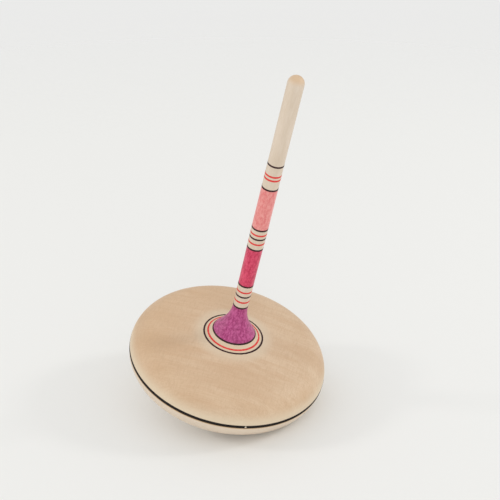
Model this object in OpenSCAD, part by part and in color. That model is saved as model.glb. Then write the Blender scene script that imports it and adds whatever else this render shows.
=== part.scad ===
// Finger top: a turned wooden disc on a turned spindle that carries coloured bands.
// Millimetres. The origin is the point it spins on, and +Z runs up the spin axis.
// Heights named *_h are measured up from the widest line of the disc.

/* [Disc] */
// Diameter of the disc at its widest line
disc_d = 56; // [50:0.5:60]
// Radius of the rounded edge above the widest line
edge_r_top = 6.7; // [6:0.1:7]
// Radius of the rounded edge below the widest line
edge_r_bottom = 7; // [6:0.1:8]
// Slope of the underside towards the middle, in degrees
underside_deg = 8; // [5:0.5:9]
// Slope of the top face towards the middle, in degrees
face_deg = 6.5; // [5.5:0.1:7.5]

/* [Foot] */
// Height of the black ring at the root of the flare
root_h = 9.8; // [9.6:0.1:10]
// Radius of the black ring at the root of the flare
root_r = 6; // [5.8:0.1:6.2]
// Rise of the small cove between the top face and the flare
cove_rise = 1.19; // [1.1:0.01:1.3]
// Reach of that cove, over which it fades to a third
cove_reach = 0.75; // [0.6:0.01:0.85]
// Radius of the red ring round the foot
foot_red_r = 7.2; // [7:0.1:7.3]
// Radius of the outer black ring round the foot
foot_black_r = 8.3; // [8.1:0.1:8.6]

/* [Spindle] */
// Diameter of the spindle at the top of the flare
neck_d = 4.15; // [4:0.05:4.2]
// Diameter of the spindle at its thickest, below the pink band
belly_d = 4.4; // [4.3:0.05:4.6]
// Diameter of the plain grip
grip_d = 4.3; // [4.2:0.05:4.4]
// Height of the rounded end of the grip
top_h = 90.5; // [80:0.5:95]
// Diameter of the tenon that is glued through the disc
tenon_d = 6; // [5:0.5:7]
// Depth of the point below the widest line
point_depth = 13; // [11.5:0.1:14]
// Radius of the rounded point
point_r = 1; // [0.6:0.1:1.4]

/* [Colour bands] */
// Heights of the lower three black lines
lower_black_h = [19.3, 23.1, 26.7]; // [19:0.1:27]
// Heights of the lower two red lines
lower_red_h = [21.3, 24.7]; // [20:0.1:26]
// Heights of the middle three black lines
middle_black_h = [39.2, 42.7, 45.6]; // [39:0.1:46]
// Heights of the middle two red lines
middle_red_h = [41.1, 44]; // [40:0.1:45]
// Heights of the upper two black lines
upper_black_h = [58.3, 65.4]; // [58:0.1:66]
// Heights of the upper two red lines
upper_red_h = [61.3, 62.4]; // [60:0.1:64]
// Width of a line on the spindle
line_w = 0.5; // [0.4:0.05:0.6]
// Width of a ring round the foot
ring_w = 0.5; // [0.4:0.05:0.7]
// Width of the burnt line round the disc
rim_line_w = 0.95; // [0.8:0.05:1.2]
// Depth of every colour into the wood
coat_t = 0.2; // [0.1:0.05:0.3]

/* [Hidden] */
$fn = 96;
disc_r = disc_d / 2;
tenon_r = tenon_d / 2;
curve_steps = 12;
wood = [0.85, 0.75, 0.62];
cream = [0.88, 0.83, 0.75];
black = [0.2, 0.15, 0.15];
red = [0.88, 0.3, 0.28];

// ---- outline, as [radius, height above the widest line] ----

function bezier(p, t) =
    pow(1 - t, 3) * p[0] + 3 * t * pow(1 - t, 2) * p[1] + 3 * t * t * (1 - t) * p[2] + pow(t, 3) * p[3];
function curve(p) = [for (i = [0:curve_steps]) bezier(p, i / curve_steps)];
function arc(centre, r, from_deg, to_deg) =
    [for (i = [0:curve_steps])
        let (a = from_deg + (to_deg - from_deg) * i / curve_steps)
        centre + r * [cos(a), sin(a)]];
function reversed(points) = [for (i = [len(points) - 1:-1:0]) points[i]];
function moved(points, by) = [for (p = points) p + by];

// Surface of the disc round the foot: the sloping face with a small cove that climbs into the flare
face_slope = tan(face_deg);
function foot_h(r) =
    root_h - cove_rise - face_slope * (r - root_r) + cove_rise * exp(-(r - root_r) / cove_reach);
function foot_points(from_r, to_r) =
    [for (i = [0:curve_steps]) let (r = from_r + (to_r - from_r) * i / curve_steps) [r, foot_h(r)]];

// Top face, from the rounded edge to where the cove starts
edge_end_deg = 80;
face_handle = 4.2;
cove_start_r = 9;
edge_end = [disc_r - edge_r_top, 0] + edge_r_top * [cos(edge_end_deg), sin(edge_end_deg)];
cove_start = [cove_start_r, foot_h(cove_start_r)];
face_curve = [edge_end,
              edge_end + face_handle * [-sin(edge_end_deg), cos(edge_end_deg)],
              cove_start + face_handle * [cos(face_deg), -sin(face_deg)],
              cove_start];

// Flare, from the root ring up to the lowest black line
flare_lean_deg = 61;
flare_root_handle = 2.2;
flare_neck_handle = 5;
flare_foot = [root_r - ring_w / 2, foot_h(root_r - ring_w / 2)];
flare_top_h = lower_black_h[0] - line_w / 2;
flare_curve = [flare_foot,
               flare_foot + flare_root_handle * [-cos(flare_lean_deg), sin(flare_lean_deg)],
               [neck_d / 2, flare_top_h - flare_neck_handle],
               [neck_d / 2, flare_top_h]];
seat_h = flare_foot[1] - coat_t;

// Spindle above the flare: it swells a little and then stays the same along the grip
grip_h = upper_black_h[1] + line_w / 2;
function spindle_r(h) =
    lookup(h, [[flare_top_h, neck_d / 2], [middle_black_h[2], belly_d / 2], [grip_h, grip_d / 2]]);

// Underside and point
underside_arc_deg = underside_deg - 90;
underside_edge = [disc_r - edge_r_bottom, 0] + edge_r_bottom * [cos(underside_arc_deg), sin(underside_arc_deg)];
underside_h = underside_edge[1] - (underside_edge[0] - tenon_r) * tan(underside_deg);

// ---- shapes ----

// Everything is turned about the spin axis, with the point at the origin
module turned(outline) {
    translate([0, 0, point_depth]) rotate_extrude() polygon(outline);
}

// A coat of colour on the spindle between two heights
module spindle_coat(from_h, to_h) {
    turned([[spindle_r(from_h), from_h], [spindle_r(to_h), to_h],
            [spindle_r(to_h) - coat_t, to_h], [spindle_r(from_h) - coat_t, from_h]]);
}
module spindle_lines(heights) {
    for (h = heights) spindle_coat(h - line_w / 2, h + line_w / 2);
}

// A ring let into the disc round the foot
function ring_top(r) = foot_points(r + ring_w / 2, r - ring_w / 2);
module foot_ring(r) {
    turned(concat(ring_top(r), reversed(moved(ring_top(r), [0, -coat_t]))));
}

// ---- sub-parts ----

module disc() {
    groove = rim_line_w / 2;
    edge_groove_deg_top = asin(groove / edge_r_top);
    edge_groove_deg_bottom = asin(groove / edge_r_bottom);
    color(wood) turned(concat(
        [[tenon_r, underside_h]],
        arc([disc_r - edge_r_bottom, 0], edge_r_bottom, underside_arc_deg, -edge_groove_deg_bottom),
        [[disc_r - coat_t, -groove], [disc_r - coat_t, groove]],
        arc([disc_r - edge_r_top, 0], edge_r_top, edge_groove_deg_top, edge_end_deg),
        curve(face_curve),
        foot_points(cove_start_r, foot_black_r + ring_w / 2),
        moved(ring_top(foot_black_r), [0, -coat_t]),
        foot_points(foot_black_r - ring_w / 2, foot_red_r + ring_w / 2),
        moved(ring_top(foot_red_r), [0, -coat_t]),
        foot_points(foot_red_r - ring_w / 2, root_r + ring_w / 2),
        moved(ring_top(root_r), [0, -coat_t]),
        [[tenon_r, seat_h]]));
}

// Spindle with its tenon and point below, and the wood left bare between the colours above
function bare(from_h, to_h) = [[spindle_r(from_h), from_h], [spindle_r(to_h), to_h]];
function under(from_h, to_h) = moved(bare(from_h, to_h), [-coat_t, 0]);
function under_line(h) = under(h - line_w / 2, h + line_w / 2);
function bare_between(h_low, h_high) = bare(h_low + line_w / 2, h_high - line_w / 2);
function under_between(h_low, h_high) = under(h_low + line_w / 2, h_high - line_w / 2);
function sorted_group(black_h, red_h) =
    len(black_h) == 3 ? [black_h[0], red_h[0], black_h[1], red_h[1], black_h[2]]
                      : [black_h[0], red_h[0], red_h[1], black_h[1]];
function group_outline(heights) = [for (i = [0:len(heights) - 1]) each
    concat(under_line(heights[i]), i < len(heights) - 1 ? bare_between(heights[i], heights[i + 1]) : [])];

module spindle() {
    point_cone_deg = 40;
    grip_r = grip_d / 2;
    color(cream) turned(concat(
        arc([0, point_r - point_depth], point_r, -90, -point_cone_deg),
        [[tenon_r, underside_h], [tenon_r, seat_h]],
        moved(curve(flare_curve), [-coat_t, -coat_t]),
        group_outline(sorted_group(lower_black_h, lower_red_h)),
        under_between(lower_black_h[2], middle_black_h[0]),
        group_outline(sorted_group(middle_black_h, middle_red_h)),
        under_between(middle_black_h[2], upper_black_h[0]),
        group_outline(sorted_group(upper_black_h, upper_red_h)),
        [[grip_r, grip_h]],
        arc([0, top_h - grip_r], grip_r, 0, 90)));
}

module rim_line() {
    groove = rim_line_w / 2;
    color(black) turned([[disc_r - coat_t, -groove], [disc_r, -groove], [disc_r, groove], [disc_r - coat_t, groove]]);
}

module foot_black_rings() {
    color(black) for (r = [foot_black_r, root_r]) foot_ring(r);
}

module foot_red_ring() {
    color(red) foot_ring(foot_red_r);
}

module purple_flare() {
    neck_r = neck_d / 2;
    color([0.7, 0.31, 0.59]) turned(concat(
        [flare_foot - [0, coat_t]],
        curve(flare_curve),
        [[neck_r - coat_t, flare_top_h]],
        reversed(moved(curve(flare_curve), [-coat_t, -coat_t]))));
}

module lower_black_lines() { color(black) spindle_lines(lower_black_h); }
module lower_red_lines() { color(red) spindle_lines(lower_red_h); }

module magenta_band() {
    color([0.78, 0.24, 0.43]) spindle_coat(lower_black_h[2] + line_w / 2, middle_black_h[0] - line_w / 2);
}

module middle_black_lines() { color(black) spindle_lines(middle_black_h); }
module middle_red_lines() { color(red) spindle_lines(middle_red_h); }

module pink_band() {
    color([0.91, 0.55, 0.55]) spindle_coat(middle_black_h[2] + line_w / 2, upper_black_h[0] - line_w / 2);
}

module upper_black_lines() { color(black) spindle_lines(upper_black_h); }
module upper_red_lines() { color(red) spindle_lines(upper_red_h); }

disc();
spindle();
rim_line();
foot_black_rings();
foot_red_ring();
purple_flare();
lower_black_lines();
lower_red_lines();
magenta_band();
middle_black_lines();
middle_red_lines();
pink_band();
upper_black_lines();
upper_red_lines();
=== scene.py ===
"""Looks of a turned wooden finger top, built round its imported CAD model.

Outlines are in millimetres, as [radius, height above the widest line of the disc].
Positions in the scene are in metres, with the spin axis on +Z and the point at the origin.
"""

import math

import bpy
import numpy as np
from mathutils import Matrix, Vector


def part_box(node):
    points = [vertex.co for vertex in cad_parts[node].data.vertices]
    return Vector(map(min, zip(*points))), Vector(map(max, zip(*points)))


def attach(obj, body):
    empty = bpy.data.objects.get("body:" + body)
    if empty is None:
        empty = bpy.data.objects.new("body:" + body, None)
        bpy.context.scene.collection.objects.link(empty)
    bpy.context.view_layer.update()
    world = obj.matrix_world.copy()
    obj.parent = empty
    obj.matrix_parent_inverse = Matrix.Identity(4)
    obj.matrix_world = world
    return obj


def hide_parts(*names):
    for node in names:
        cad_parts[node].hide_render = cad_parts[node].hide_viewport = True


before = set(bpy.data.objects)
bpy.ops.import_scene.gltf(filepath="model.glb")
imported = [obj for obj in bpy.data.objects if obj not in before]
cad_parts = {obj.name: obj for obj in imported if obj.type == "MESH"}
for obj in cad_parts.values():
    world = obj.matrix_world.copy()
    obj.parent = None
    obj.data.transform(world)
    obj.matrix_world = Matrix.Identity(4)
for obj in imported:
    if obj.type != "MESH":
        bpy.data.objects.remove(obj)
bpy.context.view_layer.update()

MM = 0.001

# ---- sizes, from the CAD frame and the design ----

disc_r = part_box("disc")[1].x / MM
widest_z = (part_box("rim_line")[0].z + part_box("rim_line")[1].z) / 2 / MM
top_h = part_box("spindle")[1].z / MM - widest_z

# disc
edge_r_top = 6.7
edge_r_bottom = 7.0
underside_deg = 8
face_deg = 6.5
cove_rise = 1.19
cove_reach = 0.75
foot_black_r = 8.3
foot_red_r = 7.2
root_r = 6.0
root_h = 9.8
seat_h = root_h - 0.3

# spindle
point_r = 1.0
tenon_r = 3.0
neck_r = 2.075
belly_r = 2.2
grip_r = 2.15
lower_black_h = [19.3, 23.1, 26.7]
lower_red_h = [21.3, 24.7]
middle_black_h = [39.2, 42.7, 45.6]
middle_red_h = [41.1, 44.0]
upper_black_h = [58.3, 65.4]
upper_red_h = [61.3, 62.4]

# coats of colour: their widths along the skin, how far they stand above it and how deep they reach
line_w = 0.5
ring_w = 0.5
rim_line_w = 0.95
line_lift = 0.03
rim_line_lift = 0.02
band_lift = 0.012
coat_depth = 0.1


# ---- outline of the visible skin ----

def arc(centre_r, r, from_deg, to_deg, steps=24):
    """Points on a round corner whose centre is on the widest line."""
    angles = np.radians(np.linspace(from_deg, to_deg, steps))
    return [[centre_r + r * math.cos(a), r * math.sin(a)] for a in angles]


def bezier(p0, p1, p2, p3, steps=24):
    """Points on the cubic curve that leaves p0 towards p1 and reaches p3 from p2."""
    t = np.linspace(0, 1, steps)[:, None]
    p0, p1, p2, p3 = (np.array(p, float) for p in (p0, p1, p2, p3))
    curve = (1 - t) ** 3 * p0 + 3 * t * (1 - t) ** 2 * p1 + 3 * t ** 2 * (1 - t) * p2 + t ** 3 * p3
    return curve.tolist()


def foot_h(r):
    """Height of the disc's face near the foot: a shallow slope and the small cove into the flare."""
    slope = math.tan(math.radians(face_deg))
    out = r - root_r
    return root_h - cove_rise - slope * out + cove_rise * math.exp(-out / cove_reach)


def disc_face():
    """Rounded edge, face and foot, from the widest line in to the root of the flare."""
    edge_end_deg = 80
    cove_start_r = 9.0
    handle = 4.2
    steep, shallow = math.radians(edge_end_deg), math.radians(face_deg)
    edge = arc(disc_r - edge_r_top, edge_r_top, 0, edge_end_deg)
    start = edge[-1]
    end = [cove_start_r, foot_h(cove_start_r)]
    face = bezier(start, [start[0] - handle * math.sin(steep), start[1] + handle * math.cos(steep)],
                  [end[0] + handle * math.cos(shallow), end[1] - handle * math.sin(shallow)], end)
    foot = [[r, foot_h(r)] for r in np.linspace(cove_start_r, root_r, 40)]
    return edge + face[1:] + foot[1:]


def flare():
    """Trumpet from the root ring up to the neck."""
    root_slope = math.radians(61)
    root_handle = 2.2
    neck_handle = 5.0
    neck_h = lower_black_h[0] - line_w / 2
    leaving = [root_r - root_handle * math.cos(root_slope), root_h + root_handle * math.sin(root_slope)]
    return bezier([root_r, root_h], leaving, [neck_r, neck_h - neck_handle], [neck_r, neck_h], steps=40)


def spindle_above():
    """Shaft with its slight swell, the plain grip and the rounded end."""
    shaft = [[neck_r, lower_black_h[0]], [belly_r, middle_black_h[2]], [grip_r, upper_black_h[1]]]
    heights = np.linspace(lower_black_h[0], top_h - grip_r, 60)
    radii = np.interp(heights, [h for _, h in shaft], [r for r, _ in shaft])
    end = arc(0, grip_r, 0, 90, steps=16)
    return [[r, h] for r, h in zip(radii, heights)] + [[r, h + top_h - grip_r] for r, h in end[1:]]


def underside():
    """Rounded edge below the widest line, in to the tenon."""
    edge = arc(disc_r - edge_r_bottom, edge_r_bottom, 0, underside_deg - 90)
    r, h = edge[-1]
    return edge + [[tenon_r, h - (r - tenon_r) * math.tan(math.radians(underside_deg))]]


def point():
    """Rounded point, from its tip up to where the spindle enters the disc."""
    cone_start_deg = -40
    angles = np.radians(np.linspace(-90, cone_start_deg, 12))
    ball = [[point_r * math.cos(a), point_r - widest_z + point_r * math.sin(a)] for a in angles]
    return ball + [underside()[-1]]


# The skin starts a little below the widest line, because the rim line lies on both sides of it.
below_line = arc(disc_r - edge_r_bottom, edge_r_bottom, -30, 0)[:-1]
skin = np.array(below_line + disc_face() + flare()[1:] + spindle_above()[1:])
skin_s = np.concatenate([[0], np.cumsum(np.hypot(*np.diff(skin, axis=0).T))])
skin_s -= skin_s[len(below_line)]
root_index = len(below_line) + len(disc_face()) - 1


def skin_at(s, lift):
    """Point of the skin at distance s from the widest line, raised along its normal."""
    step = 0.02
    behind, here, ahead = (np.array([np.interp(at, skin_s, skin[:, k]) for k in (0, 1)])
                           for at in (s - step, s, s + step))
    along = (ahead - behind) / np.hypot(*(ahead - behind))
    return here + lift * np.array([along[1], -along[0]])


def s_of_height(h):
    """Distance along the skin to a height on the spindle."""
    return float(np.interp(h, skin[root_index:, 1], skin_s[root_index:]))


def s_of_radius(r):
    """Distance along the skin to a radius on the disc's face."""
    on_disc = slice(len(below_line), root_index + 1)
    return float(np.interp(-r, -skin[on_disc, 0], skin_s[on_disc]))


# ---- meshes ----

SIDES = 240
SHARP_DEG = 35


def turned(name, outline_at, closed):
    """A solid of revolution.

    outline_at(angle) gives its outline, which is a loop if closed and else runs from the axis to the axis.
    """
    angles = np.linspace(0, 2 * math.pi, SIDES, endpoint=False)
    rings = np.array([outline_at(a) for a in angles])
    points = rings.shape[1]
    xyz = np.stack([rings[:, :, 0] * np.cos(angles)[:, None],
                    rings[:, :, 0] * np.sin(angles)[:, None],
                    rings[:, :, 1] + widest_z], axis=2) * MM
    first, last = (0, points) if closed else (1, points - 1)
    verts = xyz[:, first:last].reshape(-1, 3).tolist()
    count = last - first
    faces = []
    for i in range(SIDES):
        j = (i + 1) % SIDES
        for k in range(count if closed else count - 1):
            m = (k + 1) % count
            faces.append((i * count + k, j * count + k, j * count + m, i * count + m))
    if not closed:
        for k, end in ((0, 0), (count - 1, points - 1)):
            verts.append((0, 0, float(xyz[0, end, 2])))
            pole = len(verts) - 1
            for i in range(SIDES):
                j = (i + 1) % SIDES
                side = (i * count + k, j * count + k)
                faces.append((pole, *reversed(side)) if k == 0 else (pole, *side))
    mesh = bpy.data.meshes.new(name)
    mesh.from_pydata(verts, [], faces)
    mesh.validate()
    mesh.polygons.foreach_set("use_smooth", [True] * len(mesh.polygons))
    mesh.set_sharp_from_angle(angle=math.radians(SHARP_DEG))
    piece = bpy.data.objects.new(name, mesh)
    bpy.context.scene.collection.objects.link(piece)
    return piece


def place(piece, node, material):
    """Give a piece its material, hide the CAD node that it stands in for, and attach the piece to the root
    body.
    """
    piece.data.materials.append(material)
    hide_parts(node)
    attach(piece, "root")


def ragged(rng, wave, fibre):
    """How far an edge strays along the skin, as a function of the angle round the top.

    It is the sum of a slow hand-held wave and the short runs of stain along the fibres.
    """
    slow = [(n, rng.normal() / n, rng.uniform(0, 2 * math.pi)) for n in (1, 2, 3, 5, 8)]
    quick = [(n, rng.normal(), rng.uniform(0, 2 * math.pi)) for n in (23, 31, 41, 53, 67)]

    def stray(a):
        return (wave * sum(g * math.sin(n * a + p) for n, g, p in slow)
                + fibre * sum(g * math.sin(n * a + p) for n, g, p in quick) / 2)
    return stray


def coat_outline(s_from, s_to, lift, rng, wave, fibre, steps):
    """Outline of a thin coat of colour between two places along the skin."""
    low = ragged(rng, wave, fibre)
    high = ragged(rng, wave, fibre)

    def outline_at(a):
        along = np.linspace(s_from + low(a), s_to + high(a), steps)
        outer = [skin_at(s, lift) for s in along]
        inner = [skin_at(s, -coat_depth) for s in along[::-1]]
        return outer + inner
    return outline_at


def join(name, pieces):
    """Several loose solids as one piece."""
    with bpy.context.temp_override(active_object=pieces[0], selected_editable_objects=pieces):
        bpy.ops.object.join()
    pieces[0].name = name
    return pieces[0]


def lines(node, material, centres, width, seed, lift=line_lift, wave=0.012, fibre=0.012):
    """Lines drawn round the top, centred on these places along the skin."""
    rng = np.random.default_rng(seed)
    rounds = []
    for i, s in enumerate(centres):
        outline_at = coat_outline(s - width / 2, s + width / 2, lift, rng, wave, fibre, steps=5)
        rounds.append(turned(f"{node}_{i}", outline_at, closed=True))
    place(join(node, rounds) if len(rounds) > 1 else rounds[0], node, material)


def band(node, material, s_from, s_to, steps, seed):
    """A stained stretch of the spindle between two places along the skin."""
    rng = np.random.default_rng(seed)
    outline_at = coat_outline(s_from, s_to, band_lift, rng, wave=0.0, fibre=0.02, steps=steps)
    place(turned(node, outline_at, closed=True), node, material)


# ---- materials ----

def colour(red, green, blue):
    """An sRGB colour, 0 to 255, as Blender's linear one."""
    def linear(c):
        c = c / 255
        return c / 12.92 if c <= 0.04045 else ((c + 0.055) / 1.055) ** 2.4
    return (linear(red), linear(green), linear(blue), 1)


class Surface:
    """A material under construction, with short calls for the nodes it needs."""

    def __init__(self, name, roughness, specular):
        self.material = bpy.data.materials.new(name)
        self.material.use_nodes = True
        self.tree = self.material.node_tree
        self.shader = self.tree.nodes["Principled BSDF"]
        self.shader.inputs["Roughness"].default_value = roughness
        self.shader.inputs["Specular IOR Level"].default_value = specular
        self.coords = self.tree.nodes.new("ShaderNodeTexCoord").outputs["Object"]

    def node(self, kind, inputs, **settings):
        """A new node. Each of its inputs is linked to an output if it is given one, and else set."""
        made = self.tree.nodes.new(kind)
        for key, value in settings.items():
            setattr(made, key, value)
        for key, value in inputs.items():
            if isinstance(value, bpy.types.NodeSocket):
                self.tree.links.new(value, made.inputs[key])
            else:
                made.inputs[key].default_value = value
        return made

    def turned_coords(self, degrees):
        """Object coordinates turned about the spin axis."""
        turn = (0, 0, math.radians(degrees))
        return self.node("ShaderNodeMapping", {"Vector": self.coords, "Rotation": turn}).outputs[0]

    def noise(self, size_mm, detail, roughness, distortion=0.0, coords=None):
        """Noise whose features have these sizes along x, y and z."""
        scale = tuple(1 / (size * MM) for size in size_mm)
        stretched = self.node("ShaderNodeMapping", {"Vector": coords or self.coords, "Scale": scale})
        return self.node("ShaderNodeTexNoise", {"Vector": stretched.outputs[0], "Scale": 1.0,
                                                "Detail": detail, "Roughness": roughness,
                                                "Distortion": distortion}).outputs["Fac"]

    def map(self, value, low, high, to_low=0.0, to_high=1.0, smooth=True):
        """A value that runs from low to high, as one that runs from to_low to to_high."""
        return self.node("ShaderNodeMapRange", {0: value, 1: low, 2: high, 3: to_low, 4: to_high},
                         interpolation_type="SMOOTHSTEP" if smooth else "LINEAR").outputs[0]

    def times(self, a, b):
        return self.node("ShaderNodeMath", {0: a, 1: b}, operation="MULTIPLY").outputs[0]

    def plus(self, a, b):
        return self.node("ShaderNodeMath", {0: a, 1: b}, operation="ADD").outputs[0]

    def mix(self, factor, a, b):
        """Colour a where the factor is 0, and colour b where it is 1."""
        return self.node("ShaderNodeMix", {0: factor, 6: a, 7: b}, data_type="RGBA").outputs[2]

    def tint(self, base, mask, most, tone):
        """The base colour, with this share of another tone where the mask is 1."""
        return self.mix(self.times(mask, most), base, tone)

    def radius_and_height(self):
        """Distance from the spin axis and height above the widest line, in millimetres."""
        parts = self.node("ShaderNodeSeparateXYZ", {0: self.coords}).outputs
        flat = self.node("ShaderNodeCombineXYZ", {0: parts[0], 1: parts[1]}).outputs[0]
        length = self.node("ShaderNodeVectorMath", {0: flat}, operation="LENGTH").outputs["Value"]
        return self.times(length, 1 / MM), self.plus(self.times(parts[2], 1 / MM), -widest_z)

    def distance_to(self, spot):
        """Distance in metres from a point of the object's own space."""
        ends = {0: self.coords, 1: tuple(spot)}
        return self.node("ShaderNodeVectorMath", ends, operation="DISTANCE").outputs["Value"]

    def finish(self, base, bump_height=None, bump_mm=0.0, roughness=None):
        """The material, with this base colour and any bumps and varying roughness."""
        self.tree.links.new(base, self.shader.inputs["Base Color"])
        if bump_height is not None:
            bump = self.node("ShaderNodeBump", {"Strength": 1.0, "Distance": bump_mm * MM,
                                                "Height": bump_height})
            self.tree.links.new(bump.outputs[0], self.shader.inputs["Normal"])
        if roughness is not None:
            self.tree.links.new(roughness, self.shader.inputs["Roughness"])
        return self.material


def wood_disc():
    """Side-grain board: soft tan figure along the grain, paler round the foot and below the rim, with a
    painted highlight that makes the rounded edge paler.
    """
    grain_deg = 14
    ray_bump = 0.5
    s = Surface("wood_disc", roughness=0.5, specular=0.4)
    along = s.turned_coords(grain_deg)
    radius, height = s.radius_and_height()
    patches = s.noise((26, 9, 14), 2.0, 0.5, coords=along)
    streaks = s.noise((22, 1.6, 5), 3.0, 0.6, distortion=0.4, coords=along)
    fibres = s.noise((5, 0.22, 0.5), 2.0, 0.6, coords=along)
    rays = s.noise((0.25, 2.2, 0.8), 2.0, 0.6, coords=along)
    towards_end = s.map(s.node("ShaderNodeSeparateXYZ", {0: along}).outputs[0], 0.0, 0.85 * disc_r * MM)
    by_foot = s.map(radius, 12.5, 9.0)
    # painted highlight: the face turns paler up the rounded edge towards the rim
    painted_rim_highlight = s.map(height, 4.4, 0.6)
    below_rim = s.map(height, -0.2, -0.6)
    under_line = s.map(height, -rim_line_w / 2 - 0.5, -rim_line_w / 2)
    scorch = s.times(under_line, s.map(height, 0.2, 0.0))

    base = s.mix(s.map(patches, 0.35, 0.66), colour(219, 193, 163), colour(209, 179, 147))
    base = s.tint(base, towards_end, 0.5, colour(204, 168, 130))
    base = s.tint(base, s.map(streaks, 0.45, 0.7), 0.35, colour(203, 169, 134))
    base = s.tint(base, s.map(fibres, 0.35, 0.7), 0.28, colour(190, 154, 120))
    base = s.tint(base, s.map(rays, 0.42, 0.7), 0.36, colour(192, 160, 128))
    base = s.tint(base, by_foot, 0.7, colour(217, 199, 173))
    base = s.tint(base, painted_rim_highlight, 0.75, colour(224, 208, 182))
    base = s.mix(below_rim, base, colour(221, 204, 184))
    base = s.tint(base, scorch, 0.8, colour(178, 132, 62))
    rough = s.map(fibres, 0.2, 0.8, 0.44, 0.58, smooth=False)
    return s.finish(base, s.plus(fibres, s.times(rays, ray_bump)), bump_mm=0.03, roughness=rough)


def wood_spindle():
    """Long grain up the spindle, with a tan end."""
    s = Surface("wood_spindle", roughness=0.48, specular=0.4)
    _, height = s.radius_and_height()
    soft = s.noise((2.5, 2.5, 14), 2.0, 0.5)
    fibres = s.noise((0.18, 0.18, 2.5), 3.0, 0.65)
    end_grain = s.map(height, top_h - 2.2, top_h - 0.3)
    base = s.mix(s.map(soft, 0.3, 0.7), colour(221, 205, 187), colour(213, 196, 175))
    base = s.tint(base, s.map(fibres, 0.4, 0.75), 0.25, colour(192, 166, 138))
    base = s.tint(base, end_grain, 0.6, colour(214, 176, 132))
    rough = s.map(fibres, 0.2, 0.8, 0.42, 0.55, smooth=False)
    return s.finish(base, fibres, bump_mm=0.03, roughness=rough)


def stain(name, light, deep):
    """Translucent stain: a fine mottle where it soaks deeper, with pale flecks along the fibres."""
    s = Surface(name, roughness=0.45, specular=0.35)
    s.shader.inputs["Sheen Weight"].default_value = 0.15
    clouds = s.noise((0.7, 0.7, 1.4), 3.0, 0.75)
    mottle = s.noise((0.22, 0.22, 0.4), 3.0, 0.7)
    flecks = s.noise((0.13, 0.13, 0.35), 2.0, 0.6)
    base = s.mix(s.map(clouds, 0.33, 0.67, 0.15, 0.85), light, deep)
    base = s.tint(base, s.map(mottle, 0.42, 0.7), 0.32, deep)
    base = s.tint(base, s.map(flecks, 0.54, 0.7), 0.6, light)
    return s.finish(base, flecks, bump_mm=0.03)


def uneven_colour(s, main, worn):
    """The colour of a thin line, a little worn here and there, and the noise that it follows."""
    uneven = s.noise((0.7, 0.7, 0.4), 3.0, 0.6)
    return s.mix(s.map(uneven, 0.45, 0.8), main, worn), uneven


def drawn_line(name, main, worn):
    """Ink of a thin drawn line."""
    s = Surface(name, roughness=0.65, specular=0.2)
    base, uneven = uneven_colour(s, main, worn)
    return s.finish(base, uneven, bump_mm=0.02)


def burnt_line():
    """The scorched line round the rim, with one small pale spot."""
    pale_spot_azimuth = math.radians(99)
    pale_spot_r = 0.32
    pale_spot_core_r = 0.18
    s = Surface("burnt_line", roughness=0.7, specular=0.25)
    base, uneven = uneven_colour(s, colour(14, 8, 7), colour(42, 27, 20))
    pale_spot_at = Vector((disc_r * math.cos(pale_spot_azimuth), disc_r * math.sin(pale_spot_azimuth), widest_z)) * MM
    # a small round pale spot, in a light wood colour, at one place on the line
    pale_spot = s.map(s.distance_to(pale_spot_at), pale_spot_r * MM, pale_spot_core_r * MM)
    return s.finish(s.mix(pale_spot, base, colour(226, 212, 190)), uneven, bump_mm=0.02)


# ---- the top ----

def disc_outline(_):
    """The whole disc, with its bore for the tenon."""
    return underside()[::-1] + disc_face()[1:] + [[root_r, seat_h], [tenon_r, seat_h]]


def spindle_outline(_):
    """The whole spindle: point, tenon, flare, shaft and grip."""
    gap = 0.05
    return point() + [[tenon_r, seat_h], [root_r - gap, seat_h]] + flare() + spindle_above()[1:]


def at_radii(radii):
    return [s_of_radius(r) for r in radii]


def at_heights(heights):
    return [s_of_height(h) for h in heights]


black = drawn_line("black_line", colour(50, 28, 30), colour(96, 66, 66))
red = drawn_line("red_line", colour(218, 62, 58), colour(232, 104, 94))
purple = stain("purple_stain", colour(206, 98, 156), colour(134, 0, 84))
magenta = stain("magenta_stain", colour(232, 86, 120), colour(172, 0, 56))
pink = stain("pink_stain", colour(240, 168, 160), colour(215, 104, 107))

place(turned("disc", disc_outline, closed=True), "disc", wood_disc())
place(turned("spindle", spindle_outline, closed=False), "spindle", wood_spindle())
lines("rim_line", burnt_line(), [0.0], rim_line_w, seed=11, lift=rim_line_lift)
lines("foot_black_rings", black, at_radii([foot_black_r, root_r]), ring_w, seed=12)
lines("foot_red_ring", red, at_radii([foot_red_r]), ring_w, seed=13)
band("purple_flare", purple,
     s_of_radius(root_r), s_of_height(lower_black_h[0]), steps=40, seed=14)
lines("lower_black_lines", black, at_heights(lower_black_h), line_w, seed=15, fibre=0.05)
lines("lower_red_lines", red, at_heights(lower_red_h), line_w, seed=16)
band("magenta_band", magenta,
     s_of_height(lower_black_h[2]), s_of_height(middle_black_h[0]), steps=12, seed=17)
lines("middle_black_lines", black, at_heights(middle_black_h), line_w, seed=18)
lines("middle_red_lines", red, at_heights(middle_red_h), line_w, seed=19)
band("pink_band", pink,
     s_of_height(middle_black_h[2]), s_of_height(upper_black_h[0]), steps=12, seed=20)
lines("upper_black_lines", black, at_heights(upper_black_h), line_w, seed=21)
lines("upper_red_lines", red, at_heights(upper_red_h), line_w, seed=22)

# ---- how the floor lies: the top rests on its point and on the edge of its disc ----

CONTACT_DEG = 135


def resting_lean():
    """Angle between the spin axis and the floor's normal when the point and the rounded edge both touch."""
    rise = widest_z - point_r
    reach = disc_r - edge_r_bottom
    return math.acos((edge_r_bottom - point_r) / math.hypot(rise, reach)) - math.atan2(reach, rise)


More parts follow.
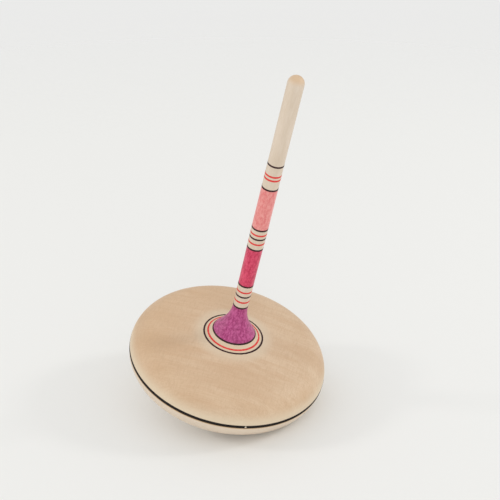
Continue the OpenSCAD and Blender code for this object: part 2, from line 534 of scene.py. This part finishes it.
lean = resting_lean()
spin_axis = Vector((0, 0, 1))
rim_centre = Vector((0, 0, widest_z * MM))
contact = Vector((math.cos(math.radians(CONTACT_DEG)), math.sin(math.radians(CONTACT_DEG)), 0))
floor_up = (spin_axis * math.cos(lean) - contact * math.sin(lean)).normalized()
point_touch = floor_up * (math.cos(lean) - 1) * point_r * MM
edge_touch = rim_centre + (contact * (disc_r - edge_r_bottom) - floor_up * edge_r_bottom) * MM

# ---- camera: x right, y down, z forward, in disc radii where it is a distance ----

LENS_MM = 85.7
axis_seen = Vector((0.1969, -0.7955, -0.5730)).normalized()
centre_seen = Vector((-0.2260, 1.0776, 12.0711))


def camera_elevation():
    """Angle between the line of sight and the floor at which the spin axis leans as it is seen.

    Of the two that there are, it is the one with the edge's contact on the near side.
    """
    steepest = math.atan2(-axis_seen.z, -axis_seen.y)
    return steepest - math.acos(math.cos(lean) / math.hypot(axis_seen.y, axis_seen.z))


def basis(first, second):
    """Orthonormal axes: first, then across first and second."""
    across = first.cross(second).normalized()
    return Matrix((first, across, first.cross(across))).transposed()


elevation = camera_elevation()
up_seen = Vector((0, -math.cos(elevation), -math.sin(elevation)))
to_world = basis(spin_axis, floor_up) @ basis(axis_seen, up_seen).transposed()
eye = rim_centre - to_world @ (centre_seen * disc_r * MM)
y_up_z_back = Matrix(((1, 0, 0), (0, -1, 0), (0, 0, -1)))
camera_data = bpy.data.cameras.new("camera")
camera_data.lens = LENS_MM
camera_data.clip_start = 0.01
camera = bpy.data.objects.new("camera", camera_data)
camera.matrix_world = Matrix.Translation(eye) @ (to_world @ y_up_z_back).to_4x4()
bpy.context.scene.collection.objects.link(camera)
bpy.context.scene.camera = camera

# ---- stage ----

studio_right = to_world @ Vector((1, 0, 0))
studio_away = floor_up.cross(studio_right).normalized()


def studio(right, away, up):
    """A point in the studio, in metres from the spot on the floor where the top's point is."""
    return point_touch + studio_right * right + studio_away * away + floor_up * up


def floor():
    """A pale floor that fades into the backdrop, so that no horizon shows.

    It glows a little, except near the edge's contact, which keeps the top's shadow pale.
    """
    reach = 1.0
    fade_from, fade_to = 0.2, 0.5
    glow_from, glow_to, glow = 0.012, 0.045, 0.22
    mesh = bpy.data.meshes.new("floor")
    corners = [studio(x * reach, y * reach, 0) for x, y in ((-1, -1), (1, -1), (1, 1), (-1, 1))]
    mesh.from_pydata([tuple(c) for c in corners], [], [(0, 1, 2, 3)])
    plane = bpy.data.objects.new("floor", mesh)
    bpy.context.scene.collection.objects.link(plane)
    s = Surface("floor", roughness=0.7, specular=0.2)
    shown = s.map(s.distance_to(point_touch), fade_from, fade_to, 1.0, 0.0)
    glowing = s.map(s.distance_to(edge_touch), glow_from, glow_to)
    s.tree.links.new(shown, s.shader.inputs["Alpha"])
    s.tree.links.new(s.times(glowing, glow), s.shader.inputs["Emission Strength"])
    s.shader.inputs["Emission Color"].default_value = (1.0, 1.0, 0.985, 1)
    mesh.materials.append(s.finish(s.mix(glowing, colour(238, 238, 236), colour(208, 208, 206))))


def softbox(name, position, size, power, tint=(1.0, 1.0, 1.0)):
    """A rectangular lamp that looks at the disc."""
    light = bpy.data.lights.new(name, "AREA")
    light.shape = "RECTANGLE"
    light.size, light.size_y = size
    light.energy = power
    light.color = tint
    lamp = bpy.data.objects.new(name, light)
    aim = (rim_centre - position).to_track_quat("-Z", "Y")
    lamp.matrix_world = Matrix.Translation(position) @ aim.to_matrix().to_4x4()
    bpy.context.scene.collection.objects.link(lamp)


def backdrop(tint, strength):
    """An even surround that lights the top from all sides."""
    world = bpy.data.worlds.new("world")
    world.use_nodes = True
    background = world.node_tree.nodes["Background"]
    background.inputs["Color"].default_value = tint
    background.inputs["Strength"].default_value = strength
    bpy.context.scene.world = world


floor()
softbox("left_box", studio(-0.8, 0.0, 0.42), size=(0.12, 0.12), power=1.2, tint=(1.0, 0.97, 0.94))
softbox("right_box", studio(0.6, 0.1, 0.42), size=(0.12, 0.12), power=0.8)
softbox("front_box", studio(0.1, -0.9, 0.25), size=(0.6, 0.3), power=1.2)
backdrop(tint=(1.0, 1.0, 0.99, 1), strength=0.828)
bpy.context.scene.view_settings.view_transform = "Standard"
